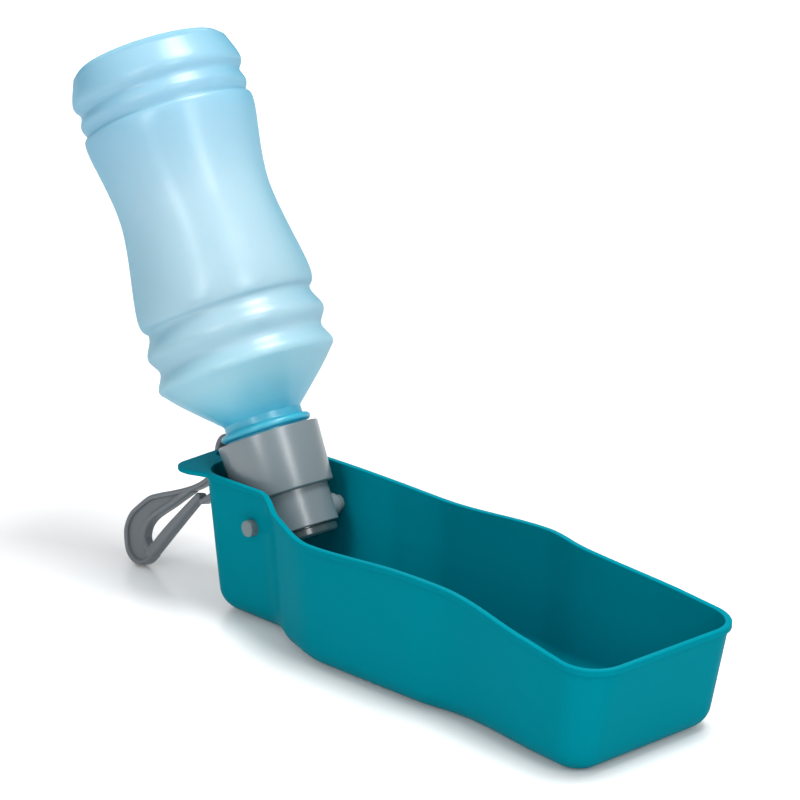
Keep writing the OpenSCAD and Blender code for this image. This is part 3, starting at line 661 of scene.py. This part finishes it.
def nozzle_mesh(finish):
    top = BARREL_LOW - NOZZLE_GAP
    low = top - NOZZLE_H
    plug_r = CHAMBER_R - PRESS_GAP
    return turned("nozzle ring", eased([
        (OUTLET_R, -VALVE_T - NOZZLE_STEP, 0), (OUTLET_R, low, 0.4), (NOZZLE_R, low, 1.3),
        (NOZZLE_R, top, 0.4), (NOZZLE_R - NOZZLE_STEP, top, 0),
        (NOZZLE_R - NOZZLE_STEP, BARREL_LOW, 0), (plug_r, BARREL_LOW, 0),
        (plug_r, -VALVE_T, 0), (OUTLET_R + VALVE_SEAT_W, -VALVE_T, 0),
        (OUTLET_R, -VALVE_T - NOZZLE_STEP, 0)], 6), finish, 112)


# Clip, drawn in its own plane with its eye's centre at the origin

def bent(p):
    return (p[0] * math.cos(EYE_BEND) - p[1] * math.sin(EYE_BEND),
            p[0] * math.sin(EYE_BEND) + p[1] * math.cos(EYE_BEND))


EYE_MID, END_MID = EYE_R + EYE_W / 2, CLIP_END_R - RIM_W / 2
RIM_HALF, RIB_HALF = RIM_W / 2, LOOP_RIB_W / 2
NOSE_LINE = [(9.5, -25.2), (11, -19), (11.9, -12.5), (10.8, -6), bent((EYE_MID, -3))]
EYE_LINE = [bent(p) for p in arc((0, 0), EYE_MID, 0, 180, 6)]
BACK_LINE = [bent((-EYE_MID, -4)), bent((-EYE_MID - 0.3, -9.5)), (3.9, -15), (3.3, -20.5), (1.4, -26.5),
             (-1.3, -32.5), (-4.9, -39.5), (-8.7, -46.5), (-11.6, -53)]
ROUND_END = (arc((-0.7, -CLIP_LEN + 3.6), END_MID + 3.1, 170, 230, 3)
             + arc((0, -CLIP_LEN), END_MID, 250, 325, 3) + [(9.15, -CLIP_LEN - 1.6), (9.5, -CLIP_LEN + 1.5)])
RIM_LINE = NOSE_LINE + EYE_LINE + BACK_LINE + ROUND_END
EYE_END = len(NOSE_LINE) + len(EYE_LINE) + 2
RIM_HALVES = [RIM_HALF if i == 0 or i >= EYE_END else EYE_W / 2 for i in range(len(RIM_LINE))]
RIM_HALVES[-1] = RIM_END_HALF
SLOT_LINE = [(1.9, -28.8), (0.6, -36), (-0.7, -43.3), (-2.3, -50.6), (-3.1, -55.7), (-2.9, -59.8),
             (-1.7, -62.7), (0.4, -64.8), (3, -65.2), (5.4, -64.4)]
ARM_ROOT = (7.9, -CLIP_LEN + 2.4)
ARM_LINE = [(6.2, -26.2), (6.4, -38), (6.9, -52), ARM_ROOT]
ARM_HALVES = [ARM_TIP_HALF, (ARM_TIP_HALF + ARM_ROOT_HALF) / 2, ARM_ROOT_HALF, ARM_ROOT_HALF]


def rib_line():
    """The middle of the rib that runs along the slot, on its outer side."""
    out = []
    last = len(SLOT_LINE) - 1
    for i, p in enumerate(SLOT_LINE):
        d = (Vector(SLOT_LINE[min(i + 1, last)]) - Vector(SLOT_LINE[max(i - 1, 0)])).normalized()
        out.append((p[0] + RIB_HALF * d.y, p[1] - RIB_HALF * d.x))
    return out


def moulded_strip(line, halves, half_t, edge):
    """A closed shell along a line, with a rounded edge all round and round ends."""
    pieces = 8
    c = smooth_line(line, pieces)
    w = [v.x for v in smooth_line([(h, 0) for h in halves], pieces)]
    m = len(c) - 1
    t = [(c[min(i + 1, m)] - c[max(i - 1, 0)]).normalized() for i in range(m + 1)]
    s = [Vector((-d.y, d.x)) for d in t]
    turns = [math.radians(f) for f in range(15, 180, 15)]

    def outline(inset):
        return ([c[i] + (w[i] - inset) * s[i] for i in range(m + 1)]
                + [c[m] + (w[m] - inset) * (math.cos(f) * s[m] + math.sin(f) * t[m]) for f in turns]
                + [c[i] - (w[i] - inset) * s[i] for i in range(m, -1, -1)]
                + [c[0] - (w[0] - inset) * (math.cos(f) * s[0] + math.sin(f) * t[0]) for f in turns])

    steps = 5
    levels = [(edge * (1 - math.sin(a)), half_t - edge * (1 - math.cos(a)))
              for a in (math.pi / 2 * k / steps for k in range(steps + 1))]
    levels = [(inset, -z) for inset, z in levels] + [(inset, z) for inset, z in reversed(levels)]
    rows = [[(p.x, p.y, z) for p in outline(inset)] for inset, z in levels]
    points, faces = lofted(rows)
    faces = faces[:-2]
    n, ends = len(rows[0]), len(turns)
    for start in (0, (len(rows) - 1) * n):
        right = [start + m + 1 + ends + (m - i) for i in range(m + 1)]
        left = [start + i for i in range(m + 1)]
        faces += [(left[i], left[i + 1], right[i + 1], right[i]) for i in range(m)]
        faces.append((left[m], *(start + m + 1 + k for k in range(ends)), right[m]))
        faces.append((right[0], *(start + n - ends + k for k in range(ends)), left[0]))
    return points, faces


def plate(outline, half_t):
    return lofted([[(x, y, z) for x, y in outline] for z in (-half_t, half_t)])


def clip_place():
    eye_z = REAR_RIM_Z + EYE_RISE
    eye_x = -LEDGE_X + EYE_R - EYE_SHIFT
    drop = (eye_z - CLIP_T * math.sin(CLIP_TILT)) / math.cos(CLIP_TILT) - CLIP_END_R
    hang = math.acos(drop / CLIP_LEN)
    return (Matrix.Translation((eye_x * MM, 0, eye_z * MM))
            @ Matrix.Rotation(math.pi / 2 - CLIP_TILT, 4, "X")
            @ Matrix.Rotation(-hang, 4, "Z") @ Matrix.Translation((0, 0, -CLIP_T / 2 * MM)))


def hook_mesh():
    rib = rib_line()
    web_from = EYE_END + 2
    inner = smooth_line(RIM_LINE[web_from:], 6) + list(reversed(smooth_line(rib, 6)))
    mesh = closed_mesh("clip hook", [
        moulded_strip(RIM_LINE, RIM_HALVES, CLIP_T / 2, RIM_EDGE),
        moulded_strip(rib, [RIB_HALF + RIB_FULLER] * len(rib), CLIP_T / 2 - RIB_SUNK, RIB_EDGE),
        plate([tuple(p) for p in inner], CLIP_WEB_T / 2)])
    mesh.transform(clip_place())
    return crisp(mesh)


def arm_mesh():
    ring = arc((0, 0), ROOT_R - DISC_SMALLER, 0, 360 - 360 / DISC_STEPS, DISC_STEPS - 1)
    disc = [(ARM_ROOT[0] + x, ARM_ROOT[1] + y) for x, y in ring]
    halves = [half + ARM_FULLER for half in ARM_HALVES]
    mesh = closed_mesh("clip arm", [
        moulded_strip(ARM_LINE, halves, CLIP_T / 2 - ARM_SUNK, ARM_EDGE),
        plate(disc, CLIP_T / 2 - DISC_SUNK)])
    mesh.transform(clip_place())
    return crisp(mesh)


# Finishes

class Wire:
    """A value in a material's nodes. Sums on it add Math nodes."""

    def __init__(self, finish, socket):
        self.finish, self.socket = finish, socket

    def math(self, operation, *others, clamp=False):
        return self.finish.node("ShaderNodeMath", dict(enumerate(others)), operation=operation,
                                use_clamp=clamp)

    def __add__(self, other):
        return self.math("ADD", self, other)

    def __radd__(self, other):
        return self.math("ADD", other, self)

    def __sub__(self, other):
        return self.math("SUBTRACT", self, other)

    def __rsub__(self, other):
        return self.math("SUBTRACT", other, self)

    def __mul__(self, other):
        return self.math("MULTIPLY", self, other)

    def __rmul__(self, other):
        return self.math("MULTIPLY", other, self)

    def __pow__(self, other):
        return self.math("POWER", self, other)

    def held(self):
        """Held between 0 and 1."""
        return self.math("ADD", self, 0.0, clamp=True)

    def over(self, floor, top):
        """0 up to floor, 1 from top on, and even between them."""
        return ((self - floor) * (1 / (top - floor))).held()


class Finish:
    """A material made of nodes."""

    def __init__(self, name):
        self.material = bpy.data.materials.new(name)
        self.material.use_nodes = True
        self.nodes, self.links = self.material.node_tree.nodes, self.material.node_tree.links
        self.nodes.clear()
        self.place = self.node("ShaderNodeTexCoord", out="Object")

    def node(self, kind, sockets=None, out=0, stops=None, **settings):
        made = self.nodes.new(kind)
        for key, value in settings.items():
            setattr(made, key, value)
        if stops:
            ramp = made.color_ramp
            while len(ramp.elements) < len(stops):
                ramp.elements.new(0.5)
            for element, (at, colour) in zip(ramp.elements, stops):
                element.position, element.color = at, (*colour, 1)
        for key, value in (sockets or {}).items():
            if isinstance(value, Wire):
                self.links.new(value.socket, made.inputs[key])
            else:
                made.inputs[key].default_value = value
        return Wire(self, made.outputs[out]) if made.outputs else None

    def mix(self, share, a, b):
        """Colour a to colour b by share."""
        as_colour = [v if isinstance(v, Wire) else (*v, 1) for v in (a, b)]
        return self.node("ShaderNodeMix", {0: share, 6: as_colour[0], 7: as_colour[1]}, out=2,
                         data_type="RGBA")

    def noise(self, scale, detail=3.0, roughness=0.5, stretch=None, turn=(0, 0, 0)):
        place = self.place
        if stretch:
            place = self.node("ShaderNodeMapping", {"Vector": place, "Rotation": turn, "Scale": stretch})
        return self.node("ShaderNodeTexNoise", {
            "Vector": place, "Scale": scale, "Detail": detail, "Roughness": roughness})

    def scratches(self, scale, turn, rare=0.66):
        """Thin lines that show here and there."""
        lines = self.noise(scale, 1.0, 0.4, (1, 45, 18), turn).over(rare, rare + 0.05)
        return lines * self.noise(scale * 0.6, 2.0).over(0.48, 0.62)

    def bump(self, height, distance, strength, normal=None):
        sockets = {"Height": height, "Distance": distance, "Strength": strength}
        if normal:
            sockets["Normal"] = normal
        return self.node("ShaderNodeBump", sockets)

    def plastic(self, **sockets):
        return self.node("ShaderNodeBsdfPrincipled", {k.replace("_", " "): v for k, v in sockets.items()})

    def done(self, surface):
        self.node("ShaderNodeOutputMaterial", {"Surface": surface})
        return self.material


def moulded(name, colour, deep, gloss, specular, **more):
    """A moulded plastic: flow marks in its colour, a fine mould texture, handling marks in its gloss."""
    flow, grain = 0.3, 0.04
    f = Finish(name)
    swirl = f.noise(22, 3.0, 0.55, (1, 1, 0.5))
    speckle = f.noise(900, 2.0)
    marks = (f.scratches(26, (0.3, 0.1, 0.5)) + f.scratches(34, (0.9, 0.4, 1.9), 0.68)).held()
    body = f.mix((swirl - 0.5) * flow + 0.5, colour, deep)
    body = f.mix(speckle.over(0.35, 0.75) * 0.03, body, [min(1, c * 1.35 + 0.01) for c in colour])
    body = f.mix(marks * 0.015, body, [min(1, c * 1.7 + 0.03) for c in colour])
    handled = f.noise(30, 3.0, 0.5).over(0.4, 0.7)
    rough = handled * 0.03 + speckle * 0.02 + marks * 0.015 + (gloss - 0.02)
    peel = f.bump(f.noise(260, 2.0), 0.00012, grain * 0.7)
    fine = f.bump(f.noise(1900, 2.0), 0.00005, grain, peel)
    return f.done(f.plastic(Base_Color=body, Roughness=rough, Normal=fine,
                            Specular_IOR_Level=specular, **more))


# Colours up the bottle, from the collar's top to the base
BOTTLE_BLUES = [
    (0.0, (0.03, 0.47, 0.68)), (0.05, (0.04, 0.52, 0.72)), (0.075, (0.10, 0.64, 0.84)),
    (0.10, (0.24, 0.74, 0.88)), (0.16, (0.50, 0.84, 0.91)), (0.24, (0.56, 0.80, 0.87)),
    (0.4, (0.58, 0.79, 0.85)), (0.62, (0.60, 0.82, 0.89)), (0.82, (0.42, 0.73, 0.85)),
    (1.0, (0.46, 0.76, 0.87)),
]


def bottle_finish():
    """Milky blown plastic: pale where the wall is thin, deep blue at the thick neck."""
    f = Finish("milky blue bottle plastic")
    reach = f.node("ShaderNodeVectorMath", {0: f.place, 1: tuple(AXIS)}, out="Value", operation="DOT_PRODUCT")
    height = reach - AXIS.z * PIVOT_Z * MM
    swirl = f.noise(14, 3.0, 0.6)
    cloudy = f.noise(60, 3.0, 0.5)
    place = height + (swirl - 0.5) * 0.006
    tone = f.node("ShaderNodeValToRGB", {"Fac": place.over(0.03, 0.20)}, stops=BOTTLE_BLUES)
    tone = f.mix(cloudy.over(0.4, 0.7) * 0.06, tone, (0.6, 0.83, 0.91))
    marks = (f.scratches(22, (0.2, 1.1, 0.4)) + f.scratches(30, (1.2, 0.3, 0.9), 0.68)).held()
    tone = f.mix(marks * 0.04, tone, (0.75, 0.88, 0.94))
    edge = f.node("ShaderNodeLayerWeight", {"Blend": 0.5}, out="Facing")
    tone = f.mix(edge**2 * place.over(0.04, 0.09) * 0.95, tone, (0.06, 0.48, 0.64))
    rough = f.noise(30, 3.0, 0.5).over(0.4, 0.7) * 0.03 + marks * 0.05 + 0.29
    flow = f.bump(f.noise(70, 2.0, 0.5, (1, 1, 0.35)), 0.0004, 0.10)
    skin = f.bump(f.noise(700, 3.0), 0.00008, 0.12, flow)
    surface = f.plastic(Base_Color=tone, Roughness=rough, Normal=skin, Specular_IOR_Level=0.9,
                        Subsurface_Weight=0.35, Subsurface_Radius=(0.010, 0.016, 0.020), Subsurface_Scale=1.0)
    through = f.node("ShaderNodeBsdfTranslucent", {"Color": tone, "Normal": skin})
    clear = place.over(0.04, 0.06) * 0.15 + 0.35
    return f.done(f.node("ShaderNodeMixShader", {0: clear, 1: surface, 2: through}))


TEAL = moulded("teal gloss trough plastic", (0.0, 0.196, 0.252), (0.0, 0.175, 0.226), 0.24, 0.3,
               Specular_Tint=(0.1, 0.8, 0.9, 1), IOR=1.04)
CAP_GREY = moulded("mid grey satin cap plastic", (0.145, 0.18, 0.195), (0.13, 0.165, 0.18), 0.3, 0.85)
CLIP_GREY = moulded("dark grey clip plastic", (0.15, 0.168, 0.186), (0.13, 0.146, 0.162), 0.33, 0.5)
PIN_GREY = moulded("light grey pin plastic", (0.13, 0.175, 0.188), (0.115, 0.155, 0.167), 0.36, 0.4)
# The nozzle ring is grey plastic. Its colour is painted near black with a teal tint: painted shade from the
# trough around it, with a painted reflection of the teal trough.
NOZZLE_SHADE_DARK = moulded("nozzle plastic with painted shade and teal reflection", (0.03, 0.055, 0.06), (0.025, 0.045, 0.05), 0.2, 0.6)
SILICONE = moulded("whitish valve silicone", (0.72, 0.75, 0.76), (0.66, 0.7, 0.71), 0.5, 0.4,
                   Subsurface_Weight=0.3, Subsurface_Radius=(0.003, 0.003, 0.003), Subsurface_Scale=1.0)
BOTTLE_BLUE = bottle_finish()

# Pieces on their bodies

as_piece("trough_moulding", trough_mesh(), TEAL, "trough", "trough", "trough")
as_piece("squeeze_bottle", bottle_mesh(BOTTLE_BLUE), BOTTLE_BLUE, "bottle", "bottle", "bottle")
as_piece("threaded_cap", cap_mesh(CAP_GREY), CAP_GREY, "cap", "cap", "cap")
as_piece("hinge_pin_left", pin_mesh(1, PIN_GREY), PIN_GREY, "cap", "pin", "pivot_pin_left")
as_piece("hinge_pin_right", pin_mesh(-1, PIN_GREY), PIN_GREY, "cap", "pin", "pivot_pin_right")
as_piece("mouth_washer", washer_mesh(SILICONE), SILICONE, "neck_seal", "seal", "neck_washer")
as_piece("outlet_ring", nozzle_mesh(NOZZLE_SHADE_DARK), NOZZLE_SHADE_DARK, "cap", "nozzle", "nozzle_ring")
as_piece("belt_clip_hook", hook_mesh(), CLIP_GREY, "clip", "clip", "clip_hook")
as_piece("belt_clip_arm", arm_mesh(), CLIP_GREY, "clip_arm", "clip", "clip_arm")

for valve_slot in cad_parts["slit_valve"].material_slots:
    valve_slot.material = SILICONE


# Floor, light and camera

def floor():
    f = Finish("white studio floor")
    tint = f.mix(f.noise(1.5, 2.0) * 0.2, (0.86, 0.86, 0.86), (0.84, 0.845, 0.85))
    rough = f.noise(8, 3.0) * 0.06 + 0.22
    half = 8
    mesh = bpy.data.meshes.new("floor")
    mesh.from_pydata([(-half, -half, 0), (half, -half, 0), (half, half, 0), (-half, half, 0)], [],
                     [(0, 1, 2, 3)])
    out = f.node("ShaderNodeVectorMath", {0: f.place, 1: (0.05, 0, 0)}, out="Value", operation="DISTANCE")
    far = f.mix(out.over(0.35, 1.4), (0.07, 0.07, 0.07), (0.85, 0.85, 0.85))
    mesh.materials.append(f.done(f.plastic(Base_Color=tint, Roughness=rough, Specular_IOR_Level=0.35,
                                           Emission_Color=far, Emission_Strength=1.0)))
    new_object("floor", mesh)


RIGHT = Vector((0.6808, 0.7325, 0))
UP = Vector((-0.2079, 0.1932, 0.9589))
BACK = Vector((0.7023, -0.6528, 0.2838))
MIDDLE = Vector((0.04, 0, 0.11))
CAMERA_PLACE, CAMERA_LENS, CAMERA_SENSOR = (0.8528, -0.7356, 0.4254), 130.7, 36
ROOM_LIGHT, ROOM_SEEN = 0.36, 1.0
# Name, place to the right, up and towards the camera, width and height, power in watts
SOFTBOXES = [
    ("overhead box", 0.3, 1.2, 0.15, (0.5, 0.5), 17),
    ("top fill", -0.2, 1.6, 0, (2, 2), 6.5),
    ("right box", 0.6, 0.6, 0.9, (0.28, 0.7), 5.5),
    ("left box", -0.6, 0.55, 0.95, (0.2, 0.7), 4.5),
    ("back box", -0.3, 0.7, -1.2, (1.2, 0.6), 4),
]


def softbox(name, right, up, towards, size, power):
    """A soft lamp, placed from the object's middle in metres as the camera sees it, and turned to it."""
    flat_back = Vector((BACK.x, BACK.y, 0)).normalized()
    lamp = bpy.data.lights.new(name, "AREA")
    lamp.shape, lamp.size, lamp.size_y, lamp.energy = "RECTANGLE", size[0], size[1], power
    obj = new_object(name, lamp)
    obj.location = MIDDLE + RIGHT * right + Vector((0, 0, up)) + flat_back * towards
    obj.rotation_euler = (MIDDLE - obj.location).to_track_quat("-Z", "Y").to_euler()


def white_room():
    """A world that lights the object softly and shows white."""
    world = bpy.data.worlds.new("white room")
    bpy.context.scene.world = world
    world.use_nodes = True
    nodes, links = world.node_tree.nodes, world.node_tree.links
    nodes.clear()
    sky, out = nodes.new("ShaderNodeBackground"), nodes.new("ShaderNodeOutputWorld")
    seen, level = nodes.new("ShaderNodeLightPath"), nodes.new("ShaderNodeMapRange")
    sky.inputs["Color"].default_value = (1, 1, 1, 1)
    level.inputs["To Min"].default_value = ROOM_LIGHT
    level.inputs["To Max"].default_value = ROOM_SEEN
    links.new(seen.outputs["Is Camera Ray"], level.inputs["Value"])
    links.new(level.outputs[0], sky.inputs["Strength"])
    links.new(sky.outputs[0], out.inputs["Surface"])


def camera():
    view = bpy.data.cameras.new("camera")
    view.lens, view.sensor_width = CAMERA_LENS, CAMERA_SENSOR
    view.clip_start, view.clip_end = 0.01, 40
    obj = new_object("camera", view)
    columns = Matrix((RIGHT, UP, BACK)).transposed()
    obj.matrix_world = Matrix.Translation(CAMERA_PLACE) @ columns.to_4x4()
    bpy.context.scene.camera = obj


floor()
white_room()
for box in SOFTBOXES:
    softbox(*box)
camera()
bpy.context.scene.view_settings.view_transform = "Standard"
